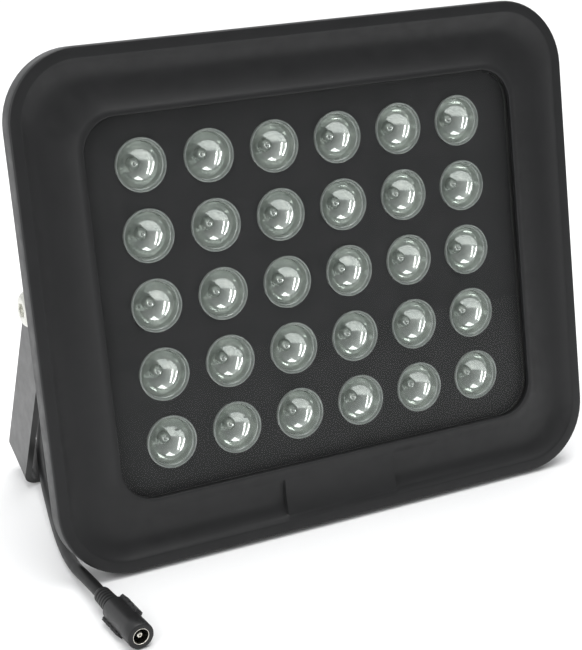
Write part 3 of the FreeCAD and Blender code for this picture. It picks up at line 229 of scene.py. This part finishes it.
class Finish:
    """One procedural material, whose patterns lie on the piece's own Object coordinates."""

    def __init__(self, name):
        self.material = bpy.data.materials.new(name)
        self.material.use_nodes = True
        self.tree = self.material.node_tree
        self.tree.nodes.clear()
        self.out = self.tree.nodes.new("ShaderNodeOutputMaterial")
        self.coat = self.tree.nodes.new("ShaderNodeBsdfPrincipled")
        self.place = self.tree.nodes.new("ShaderNodeTexCoord")
        self.link(self.coat.outputs["BSDF"], self.out.inputs["Surface"])

    def link(self, start, end):
        self.tree.links.new(start, end)

    def set(self, **sockets):
        for name, value in sockets.items():
            self.coat.inputs[name.replace("_", " ")].default_value = value
        return self

    def noise(self, size, detail=3.0, roughness=0.55, stretch=None):
        """A cloudy pattern whose blots are about size metres across."""
        node = self.tree.nodes.new("ShaderNodeTexNoise")
        node.inputs["Scale"].default_value = 1.0 / size
        node.inputs["Detail"].default_value = detail
        node.inputs["Roughness"].default_value = roughness
        where = self.place.outputs["Object"]
        if stretch:
            mapping = self.tree.nodes.new("ShaderNodeMapping")
            mapping.inputs["Scale"].default_value = stretch
            self.link(where, mapping.inputs["Vector"])
            where = mapping.outputs["Vector"]
        self.link(where, node.inputs["Vector"])
        return node.outputs["Fac"]

    def ramp(self, pattern, stops):
        """Turns a pattern into colours, which are given with their places from 0 to 1."""
        node = self.tree.nodes.new("ShaderNodeValToRGB")
        elements = node.color_ramp.elements
        elements[0].position = stops[0][0]
        elements[0].color = (*stops[0][1], 1.0)
        elements[1].position = stops[-1][0]
        elements[1].color = (*stops[-1][1], 1.0)
        for position, colour in stops[1:-1]:
            elements.new(position).color = (*colour, 1.0)
        self.link(pattern, node.inputs["Fac"])
        return node.outputs["Color"]

    def shades(self, pattern, colour, spread, end=0.7):
        """Turns a pattern into a darker and a lighter shade of one colour."""
        dark = tuple(part * (1.0 - spread) for part in colour)
        light = tuple(min(1.0, part * (1.0 + spread)) for part in colour)
        return self.ramp(pattern, [(0.3, dark), (end, light)])

    def span(self, pattern, low, high):
        """Maps a pattern onto the values from low to high."""
        node = self.tree.nodes.new("ShaderNodeMapRange")
        for name, value in (("From Min", 0.3), ("From Max", 0.7), ("To Min", low), ("To Max", high)):
            node.inputs[name].default_value = value
        self.link(pattern, node.inputs["Value"])
        return node.outputs["Result"]

    def bump(self, height, depth, strength=1.0):
        """Raises the surface by up to depth metres."""
        node = self.tree.nodes.new("ShaderNodeBump")
        node.inputs["Strength"].default_value = strength
        node.inputs["Distance"].default_value = depth
        self.link(height, node.inputs["Height"])
        self.link(node.outputs["Normal"], self.coat.inputs["Normal"])

    def colour(self, socket):
        self.link(socket, self.coat.inputs["Base Color"])

    def rough(self, socket):
        self.link(socket, self.coat.inputs["Roughness"])


def mottled(name, colour, spread, blot, rough, grain=0.3, depth=0.0, **sockets):
    """A plain finish with faint clouds in its colour, uneven gloss and, given a depth, a fine grain."""
    finish = Finish(name)
    clouds = finish.noise(blot * MM, 4.0)
    finish.colour(finish.shades(clouds, colour, spread))
    finish.rough(finish.span(clouds, *rough))
    if depth:
        finish.bump(finish.noise(grain * MM, 2.0), depth * MM)
    return finish.set(**sockets)


def powder_coat(name, colour, rough, grain, specular):
    """Satin powder coat: clouds in its colour and a fine orange peel."""
    finish = Finish(name)
    finish.colour(finish.shades(finish.noise(14 * MM, 5.0), colour, 0.14, end=0.72))
    finish.rough(finish.span(finish.noise(5 * MM, 3.0), *rough))
    finish.bump(finish.noise(grain * MM, 3.0, 0.6), 0.035 * MM, 0.5)
    return finish.set(Specular_IOR_Level=specular)


def turned_metal(name, colour, rough):
    """Bright metal with faint turning marks and a little unevenness."""
    finish = Finish(name)
    marks = finish.noise(0.25 * MM, 2.0, 0.5, stretch=(0.15, 1.0, 1.0))
    finish.colour(finish.shades(finish.noise(3 * MM, 3.0), colour, 0.08))
    finish.rough(finish.span(marks, *rough))
    finish.bump(marks, 0.01 * MM, 0.4)
    return finish.set(Metallic=1.0)


def window_glass():
    """Thin clear glass: light goes straight through it, and it mirrors a little more when seen edge on."""
    finish = Finish("window_glass")
    tree = finish.tree
    tree.nodes.remove(finish.coat)
    clear = tree.nodes.new("ShaderNodeBsdfTransparent")
    finish.link(finish.shades(finish.noise(9 * MM, 2.0), (0.985, 0.99, 0.988), 0.02), clear.inputs["Color"])
    gloss = tree.nodes.new("ShaderNodeBsdfGlossy")
    gloss.inputs["Roughness"].default_value = 0.0
    edge_on = tree.nodes.new("ShaderNodeLayerWeight")
    edge_on.inputs["Blend"].default_value = 0.15
    share = tree.nodes.new("ShaderNodeMath")
    share.operation = "MULTIPLY"
    share.inputs[1].default_value = 0.1
    mix = tree.nodes.new("ShaderNodeMixShader")
    finish.link(edge_on.outputs["Facing"], share.inputs[0])
    finish.link(share.outputs["Value"], mix.inputs["Fac"])
    finish.link(clear.outputs["BSDF"], mix.inputs[1])
    finish.link(gloss.outputs["BSDF"], mix.inputs[2])
    finish.link(mix.outputs["Shader"], finish.out.inputs["Surface"])
    return finish


def lens_bowl():
    """The mirror-like look that the clear lens has from in front, slightly green and uneven."""
    finish = Finish("lens_bowl")
    swirl = finish.noise(3.2 * MM, 3.0, 0.55)
    greens = [(0.25, (0.42, 0.455, 0.43)), (0.6, (0.51, 0.545, 0.51)), (0.8, (0.6, 0.635, 0.59))]
    finish.colour(finish.ramp(swirl, greens))
    finish.rough(finish.span(swirl, 0.06, 0.14))
    return finish.set(Metallic=0.7, IOR=1.5)


def emitter_resin():
    """Clear resin over the yellow chip."""
    finish = Finish("emitter_resin")
    yellows = [(0.35, (0.55, 0.5, 0.28)), (0.65, (0.75, 0.72, 0.48))]
    finish.colour(finish.ramp(finish.noise(0.9 * MM), yellows))
    return finish.set(Roughness=0.25, Coat_Weight=0.6, Coat_Roughness=0.08)


def make_finishes():
    """Every finish, by the name of its slot in the record or of the part it covers."""
    made = {"window_glass": window_glass(), "lens_bowl": lens_bowl(), "emitter_resin": emitter_resin()}
    made.update({name: powder_coat(name, *row) for name, row in POWDER_COATS.items()})
    made.update({name: turned_metal(name, *row) for name, row in METALS.items()})
    made.update({name: mottled(name, *row, **more) for name, (*row, more) in PLAIN_FINISHES.items()})
    return made


finishes = make_finishes()


# Shaping


def new_piece(name, shape, node, place=None, covers=None, crease=35.0, body="head", seams=True):
    """Turns a bmesh into the finished piece that stands for a CAD node.

    Its covers are the finishes by material index. Where it has seams, they are merged first.
    """
    if seams:
        bmesh.ops.remove_doubles(shape, verts=shape.verts, dist=TOUCH)
        bmesh.ops.recalc_face_normals(shape, faces=shape.faces)
    if place is not None:
        shape.transform(place)
    mesh = bpy.data.meshes.new(name)
    shape.to_mesh(mesh)
    shape.free()
    for cover in covers or [slot_of[node]]:
        mesh.materials.append(finishes[cover].material)
    mesh.shade_smooth()
    mesh.set_sharp_from_angle(angle=math.radians(crease))
    piece = bpy.data.objects.new(name, mesh)
    bpy.context.scene.collection.objects.link(piece)
    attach(piece, body)
    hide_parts(node)
    return piece


def section(points, start=0.0, radius=0.0):
    """Turns a section's points in mm into radius and reach in metres."""
    return [(radius + across * MM, start + along * MM) for across, along in points]


def contour(shape, width, height, corner, depth, steps=12):
    """Draws a rounded rectangle at a depth behind the rim and returns its edges."""
    known = set(shape.faces)
    corners = [shape.verts.new((across * width / 2, depth, up * height / 2))
               for across, up in ((-1, -1), (1, -1), (1, 1), (-1, 1))]
    shape.faces.new(corners)
    bmesh.ops.bevel(shape, geom=corners, offset=corner, offset_type="OFFSET", segments=steps, profile=0.5,
                    affect="VERTICES", material=-1)
    face = next(item for item in shape.faces if item not in known)
    edges = list(face.edges)
    bmesh.ops.delete(shape, geom=[face], context="FACES_ONLY")
    return edges


def frame_contour(shape, inset, depth):
    """Draws the bezel's contour at a distance in from its outer edge."""
    corner = FRAME_CORNER - inset
    if inset > LIP:
        share = (inset - LIP) / (OPENING_INSET - LIP)
        corner = (FRAME_CORNER - LIP) * (1 - share) + OPENING_CORNER * share
    return contour(shape, FRAME_WIDTH - 2 * inset, FRAME_HEIGHT - 2 * inset, corner, depth, FRAME_ARC_STEPS)


def skin(shape, loops, closed=False):
    """Joins each contour to the next with faces."""
    pairs = list(zip(loops, loops[1:]))
    if closed:
        pairs.append((loops[-1], loops[0]))
    for first, second in pairs:
        bmesh.ops.bridge_loops(shape, edges=first + second)


def arc(centre, radius, start, end, steps):
    """Points on an arc, as (inset, depth) pairs, from one angle to another."""
    for index in range(steps + 1):
        angle = math.radians(start + (end - start) * index / steps)
        yield centre[0] + radius * math.cos(angle), centre[1] + radius * math.sin(angle)


def spun(shape, profile, steps, centre=(0, 0, 0), axis=(0, 1, 0), side=(1, 0, 0)):
    """Spins a profile of (radius, reach) pairs round an axis and returns its faces."""
    centre, axis, side = Vector(centre), Vector(axis), Vector(side)
    line = [shape.verts.new(centre + side * radius + axis * reach) for radius, reach in profile]
    edges = [shape.edges.new(pair) for pair in zip(line, line[1:])]
    before = set(shape.faces)
    bmesh.ops.spin(shape, geom=line + edges, cent=centre, axis=axis, angle=2 * math.pi, steps=steps,
                   use_merge=True)
    return [face for face in shape.faces if face not in before]


# Front frame and window


def trough_at(inset):
    """Inset and depth in the trough, which falls from the lip and rises to the crest as two parabolas."""
    far = LIP if inset < TROUGH_REACH else CREST
    share = (inset - TROUGH_REACH) / (far - TROUGH_REACH)
    return inset, TROUGH_DEPTH * (1 - share * share)


def bezel_section():
    """The bezel's (inset, depth) pairs, from its outer side over lip, trough and crest into the opening."""
    fall = [LIP + (TROUGH_REACH - LIP) * (index / FALL_STEPS) for index in range(1, FALL_STEPS + 1)]
    rise = [TROUGH_REACH + (CREST - TROUGH_REACH) * (index / RISE_STEPS) for index in range(1, RISE_STEPS)]
    outer = [(0.0, FRAME_DEPTH - BACK_BEVEL), *arc((EDGE_ROUND, EDGE_ROUND), EDGE_ROUND, 180, 270, 5)]
    brow = [(LIP - 2 * BROW, 0.0), (LIP - 0.4 * BROW, 0.02 * MM), trough_at(LIP + BROW)]
    trough = [trough_at(inset) for inset in fall + rise]
    crest = [(CREST - 0.15 * MM, 0.04 * MM), (CREST + 0.3 * MM, 0.0)]
    opening = [*arc((OPENING_INSET - OPENING_ROUND, OPENING_ROUND), OPENING_ROUND, 270, 360, 4),
               (OPENING_INSET, WINDOW_RECESS)]
    return outer + brow + trough + crest + opening


def make_bezel():
    """The front frame: flat lip, trough, crest, stepped window opening, and the blank pad below."""
    shape = bmesh.new()
    loops = [frame_contour(shape, *at) for at in bezel_section()]
    for depth in (WINDOW_RECESS, FRAME_DEPTH):
        loops.append(contour(shape, OPENING_WIDTH + 2 * REBATE_REACH, OPENING_HEIGHT + 2 * REBATE_REACH,
                             OPENING_CORNER + REBATE_REACH, depth, FRAME_ARC_STEPS))
    # Two wide contours in one plane are joined askew, so the last is drawn deeper and then laid flush.
    loops.append(frame_contour(shape, BACK_BEVEL, FRAME_DEPTH + 4 * MM))
    skin(shape, loops, closed=True)
    for vert in shape.verts:
        vert.co.y = min(vert.co.y, FRAME_DEPTH)
    add_blank_pad(shape)
    return new_piece("bezel", shape, "front_frame", LAMP, crease=50.0)


def add_blank_pad(shape):
    """Raises the trough below the window to the plain hollowed pad."""
    for across in (-PAD_HALF - PAD_BLEND, -PAD_HALF, PAD_HALF, PAD_HALF + PAD_BLEND):
        everything = shape.verts[:] + shape.edges[:] + shape.faces[:]
        bmesh.ops.bisect_plane(shape, geom=everything, plane_co=(across, 0, 0), plane_no=(1, 0, 0),
                               dist=0.2 * TOUCH)
    middle, half = (LIP + CREST) / 2, (CREST - LIP) / 2
    front = TROUGH_DEPTH + 0.3 * MM
    for vert in shape.verts:
        inset = FRAME_HEIGHT / 2 + vert.co.z
        if abs(vert.co.x) < PAD_HALF + 2 * TOUCH and LIP < inset < CREST and vert.co.y < front:
            share = (inset - middle) / half
            vert.co.y = PAD_EDGE + (PAD_SAG - PAD_EDGE) * (1 - share * share)


def make_window():
    """The flat pane, with its edge ground to a small bevel."""
    shape = bmesh.new()
    width, height = OPENING_WIDTH + 2 * PANE_REACH, OPENING_HEIGHT + 2 * PANE_REACH
    corner = OPENING_CORNER + PANE_REACH
    back = WINDOW_RECESS + PANE_THICK
    stops = [(PANE_BEVEL, WINDOW_RECESS), (0.0, WINDOW_RECESS + PANE_BEVEL), (0.0, back - PANE_BEVEL),
             (PANE_BEVEL, back)]
    loops = [contour(shape, width - 2 * inset, height - 2 * inset, corner - inset, depth)
             for inset, depth in stops]
    skin(shape, loops)
    bmesh.ops.holes_fill(shape, edges=shape.edges[:])
    return new_piece("window_sheet", shape, "window_pane", LAMP)


# Lenses


def bowl_section():
    """Radius and depth along the moulded cup: dimpled post with a coned shoulder, then the round wall."""
    floor = BOWL_BOTTOM - 0.35 * MM
    post = [(POST_RADIUS, floor - 0.4 * MM), (POST_RADIUS + 0.2 * MM, floor)]
    low, high = math.asin((POST_RADIUS + 0.5 * MM) / CUP_RADIUS), math.asin(BOWL_TOP / CUP_RADIUS)
    angles = [low + (high - low) * index / CUP_STEPS for index in range(CUP_STEPS + 1)]
    wall = [(CUP_RADIUS * math.sin(angle), BOWL_BOTTOM - CUP_RADIUS * (1 - math.cos(angle)))
            for angle in angles]
    ledge = [(BOWL_TOP + 0.12 * MM, LEDGE + 0.2 * MM), (BOWL_TOP + 0.2 * MM, LEDGE)]
    return section(POST_TIP, POST_FRONT) + post + wall + ledge


def make_lens_row(row):
    """Six lenses: each a glossy bowl with a dimpled post in its middle, a ledge and a rim."""
    shape = bmesh.new()
    bowl = bowl_section()
    rim = [bowl[-1]] + section(LENS_RIM, LENS_FRONT)
    body = [rim[-1], (LENS_RADIUS, LENS_BACK), (0.0, LENS_BACK)]
    up = ((ROWS - 1) / 2 - row) * PITCH_UP
    for column in range(COLUMNS):
        centre = ((column - (COLUMNS - 1) / 2) * PITCH_ACROSS, 0.0, up)
        spun(shape, bowl, LENS_STEPS, centre)
        for face in spun(shape, rim, LENS_STEPS, centre):
            face.material_index = 1
        spun(shape, body, LENS_STEPS, centre)
    return new_piece("lenses_row_%d" % (row + 1), shape, "lens_row_%d" % (row + 1), LAMP,
                     covers=["lens_bowl", "lens_rim"], crease=40.0)


# Bracket's bolts, and the pieces that only get softer edges


def hexagon_at(shape, reach, flats):
    """Draws a hexagon with split sides at a reach along x and returns its edges."""
    place = Matrix.Translation((reach, 0, 0)) @ Matrix.Rotation(math.radians(90), 4, "Y")
    known = set(shape.edges)
    bmesh.ops.create_circle(shape, segments=6, radius=flats / 2 / math.cos(math.radians(30)), matrix=place)
    sides = [edge for edge in shape.edges if edge not in known]
    bmesh.ops.subdivide_edges(shape, edges=sides, cuts=7)
    return [edge for edge in shape.edges if edge not in known]


def make_bolt(side_name, turn):
    """A button-head bolt: shank, rounded crown and a hexagonal socket."""
    shape = bmesh.new()
    top = HEAD_SEAT + BOLT_HEIGHT
    profile = [(BOLT_SHANK, HEAD_SEAT - BOLT_REACH), (BOLT_SHANK, HEAD_SEAT),
               (BOLT_RADIUS - 0.25 * MM, HEAD_SEAT), (BOLT_RADIUS, HEAD_SEAT + 0.2 * MM)]
    for index in range(CROWN_STEPS + 1):
        angle = math.radians(90 * index / CROWN_STEPS)
        profile.append((CROWN_FLAT + (BOLT_RADIUS - CROWN_FLAT) * math.cos(angle),
                        HEAD_SEAT + CROWN_START + (BOLT_HEIGHT - CROWN_START) * math.sin(angle)))
    profile.append((SOCKET_BRIM, top - 0.02 * MM))
    spun(shape, profile, 48, axis=(1, 0, 0), side=(0, 1, 0))
    brim = [edge for edge in shape.edges if len(edge.link_faces) == 1 and edge.verts[0].co.x > HEAD_SEAT]
    socket = [hexagon_at(shape, top - sink, SOCKET_FLATS) for sink in (0.25 * MM, SOCKET_SINK)]
    skin(shape, [brim, *socket])
    bmesh.ops.holes_fill(shape, edges=shape.edges[:])
    place = LAMP @ Matrix.Translation((0, PIVOT_DEPTH, 0)) @ Matrix.Rotation(math.radians(turn), 4, "Z")
    return new_piece("button_bolt_" + side_name, shape, "pivot_bolt_" + side_name, place, crease=40.0)


def soften(node, name, round_by, body="head"):
    """Copies a CAD node and rounds its sharp edges a little."""
    shape = bmesh.new()
    shape.from_mesh(nodes[node].data)
    bmesh.ops.remove_doubles(shape, verts=shape.verts, dist=TOUCH)
    bmesh.ops.dissolve_limit(shape, angle_limit=math.radians(0.5), verts=shape.verts, edges=shape.edges)
    sharp = [edge for edge in shape.edges if len(edge.link_faces) == 2
             and edge.calc_face_angle(0.0) > math.radians(34.0)]
    bmesh.ops.bevel(shape, geom=sharp, offset=round_by, offset_type="OFFSET", segments=2, profile=0.5,
                    affect="EDGES", clamp_overlap=True, material=-1)
    bmesh.ops.triangulate(shape, faces=[face for face in shape.faces if len(face.verts) > 4])
    return new_piece(name, shape, node, crease=20.0, body=body, seams=False)


# Cord and jack


def make_cord():
    """The cord: one smooth curve from the gland to the jack."""
    line = bpy.data.curves.new("supply_cord", "CURVE")
    line.dimensions = "3D"
    line.bevel_depth = CORD_WIDTH / 2
    line.bevel_resolution = 6
    line.resolution_u = 14
    line.use_fill_caps = True
    spline = line.splines.new("NURBS")
    spline.points.add(len(CORD_POINTS) - 1)
    for point, at in zip(spline.points, CORD_POINTS):
        point.co = (*(Vector(at) * MM), 1.0)
    spline.order_u = 3
    spline.use_endpoint_u = True
    line.materials.append(finishes["cord_black"].material)
    cord = bpy.data.objects.new("supply_cord", line)
    bpy.context.scene.collection.objects.link(cord)
    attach(cord, "head")
    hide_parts("power_cord")
    return cord


def add_block(shape, size, middle, round_by):
    """Adds a box with rounded edges, rolled as the jack's wings are."""
    place = Matrix.Rotation(WING_ROLL, 4, "Z") @ Matrix.Translation(middle) @ Matrix.Diagonal((*size, 1.0))
    made = bmesh.ops.create_cube(shape, size=1.0, matrix=place)["verts"]
    edges = list({edge for vert in made for edge in vert.link_edges})
    bmesh.ops.bevel(shape, geom=edges, offset=round_by, offset_type="OFFSET", segments=3, profile=0.5,
                    affect="EDGES", material=-1)


def add_wing(shape, side):
    """Adds a grip wing on one side of the barrel: a core, and blocks with grooves between them."""
    reach = WING_SPAN / 2 - WING_ROOT
    core = reach - WING_NOTCH
    add_block(shape, (core, WING_THICK, WING_LENGTH),
              (side * (WING_ROOT + core / 2), 0, RELIEF_LENGTH + WING_LENGTH / 2), 0.2 * MM)
    step = WING_LENGTH / WING_BLOCKS
    for index in range(WING_BLOCKS):
        add_block(shape, (reach, WING_THICK, step - WING_GROOVE),
                  (side * (WING_ROOT + reach / 2), 0, RELIEF_LENGTH + step * (index + 0.5)), 0.22 * MM)


def moulding_section():
    """Radius and reach along the moulding: ribbed bend relief, barrel, and the socket's bore."""
    ribs = []
    for rib in range(RIBS):
        ribs += section(RIB, RIB_START + rib * RIB_PITCH, RELIEF_RADIUS + rib * RIB_GROWTH)
    relief = section(RELIEF_START) + ribs + section(RELIEF_END, RELIEF_LENGTH)
    return relief + section(BARREL_START, RELIEF_LENGTH) + section(BARREL_END, JACK_END)


def make_jack():
    """The jack's moulding with its two wings, its sleeve and its pin."""
    along = Matrix.Rotation(math.radians(90), 4, "X")
    place = Matrix.Translation(JACK_START) @ Matrix.Rotation(JACK_TURN, 4, "Z") @ along
    pieces = []
    for name, node, profile, steps in (("jack_moulding", "jack_body", moulding_section(), 56),
                                       ("jack_ring", "jack_sleeve", section(SLEEVE, JACK_END), 48),
                                       ("jack_stem", "jack_pin", section(PIN, JACK_END), 32)):
        shape = bmesh.new()
        spun(shape, profile, steps, axis=(0, 0, 1))
        if node == "jack_body":
            bmesh.ops.remove_doubles(shape, verts=shape.verts, dist=TOUCH)
            add_wing(shape, -1)
            add_wing(shape, 1)
        pieces.append(new_piece(name, shape, node, place))
    return pieces


# Studio


def make_camera():
    """The photograph's view."""
    swing, tip = CAMERA_SWING, CAMERA_TIP
    right = Vector((math.cos(swing), -math.sin(swing), 0.0))
    up = Vector((math.sin(swing) * math.sin(tip), math.cos(swing) * math.sin(tip), math.cos(tip)))
    view = Matrix((right, up, right.cross(up))).transposed().to_4x4()
    camera = bpy.data.objects.new("camera", bpy.data.cameras.new("camera"))
    camera.data.sensor_fit = "VERTICAL"
    camera.data.sensor_height = SENSOR_HEIGHT
    camera.data.lens = CAMERA_LENS
    camera.data.clip_start = 0.05
    camera.matrix_world = Matrix.Translation(CAMERA_AT) @ view
    bpy.context.scene.collection.objects.link(camera)
    bpy.context.scene.camera = camera


def soft_light(name, at, towards, width, height, power):
    """A soft box that looks from one place towards another."""
    lamp = bpy.data.lights.new(name, "AREA")
    lamp.shape = "RECTANGLE"
    lamp.size = width
    lamp.size_y = height
    lamp.energy = power
    light = bpy.data.objects.new(name, lamp)
    light.location = at
    light.rotation_euler = (Vector(towards) - Vector(at)).to_track_quat("-Z", "Y").to_euler()
    bpy.context.scene.collection.objects.link(light)


def strip_light(name, swing, width):
    """An upright strip on a wide circle round the lamp, at an angle to the left of straight ahead."""
    angle = math.radians(swing)
    at = (-STRIP_DISTANCE * math.sin(angle), -STRIP_DISTANCE * math.cos(angle), STRIP_HEIGHT)
    soft_light(name, at, (0.0, -0.02, 0.09), width, STRIP_LENGTH, STRIP_POWER)


def make_surround(front, back):
    """A pale surround that is dimmer in front of the lamp and to its right, where the room is dark."""
    world = bpy.data.worlds.new("studio")
    world.use_nodes = True
    tree = world.node_tree
    where = tree.nodes.new("ShaderNodeTexCoord")
    bearing = tree.nodes.new("ShaderNodeVectorMath")
    bearing.operation = "DOT_PRODUCT"
    bearing.inputs[1].default_value = (-0.45, 1.0, 0.0)
    fade = tree.nodes.new("ShaderNodeMapRange")
    fade.interpolation_type = "SMOOTHSTEP"
    for name, value in (("From Min", -0.95), ("From Max", 0.05), ("To Min", front), ("To Max", back)):
        fade.inputs[name].default_value = value
    tree.links.new(where.outputs["Generated"], bearing.inputs[0])
    tree.links.new(bearing.outputs["Value"], fade.inputs["Value"])
    surround = tree.nodes["Background"]
    surround.inputs["Color"].default_value = (0.98, 0.99, 1.0, 1.0)
    tree.links.new(fade.outputs["Result"], surround.inputs["Strength"])
    bpy.context.scene.world = world


def make_floor():
    """The pale floor that the lamp rests on."""
    shape = bmesh.new()
    bmesh.ops.create_grid(shape, x_segments=1, y_segments=1, size=FLOOR_HALF)
    mesh = bpy.data.meshes.new("floor")
    shape.to_mesh(mesh)
    shape.free()
    mesh.materials.append(finishes["pale_floor"].material)
    floor = bpy.data.objects.new("floor", mesh)
    bpy.context.scene.collection.objects.link(floor)


def make_studio():
    """Pale floor, pale surround and soft boxes."""
    make_floor()
    make_surround(0.32, 1.0)
    strip_light("left_strip", 68, 0.08)
    strip_light("second_strip", 50, 0.1)
    soft_light("top_box", (0.15, 0.1, 1.3), (0.0, 0.0, 0.05), 1.4, 1.0, 15.0)
    bpy.context.scene.view_settings.view_transform = "Standard"


# Assembly


def dress_nodes():
    """Gives the CAD nodes that still show the finishes of their slots."""
    for name, slot in slot_of.items():
        if not nodes[name].hide_render and slot in finishes:
            for held in nodes[name].material_slots:
                held.material = finishes[slot].material


make_camera()
cord = make_cord()
jack = make_jack()
make_bezel()
make_window()
for row in range(ROWS):
    make_lens_row(row)
soften("mounting_bracket", "strap_bracket", 0.4 * MM, body="bracket")
soften("rear_cover", "bay_lid", 0.5 * MM)
soften("gland_nut", "cord_nut", 0.35 * MM)
soften("gland_body", "cord_gland", 0.3 * MM)
soften("cooling_fins", "fins", 0.3 * MM)
make_bolt("right", 0)
make_bolt("left", 180)
dress_nodes()
make_studio()
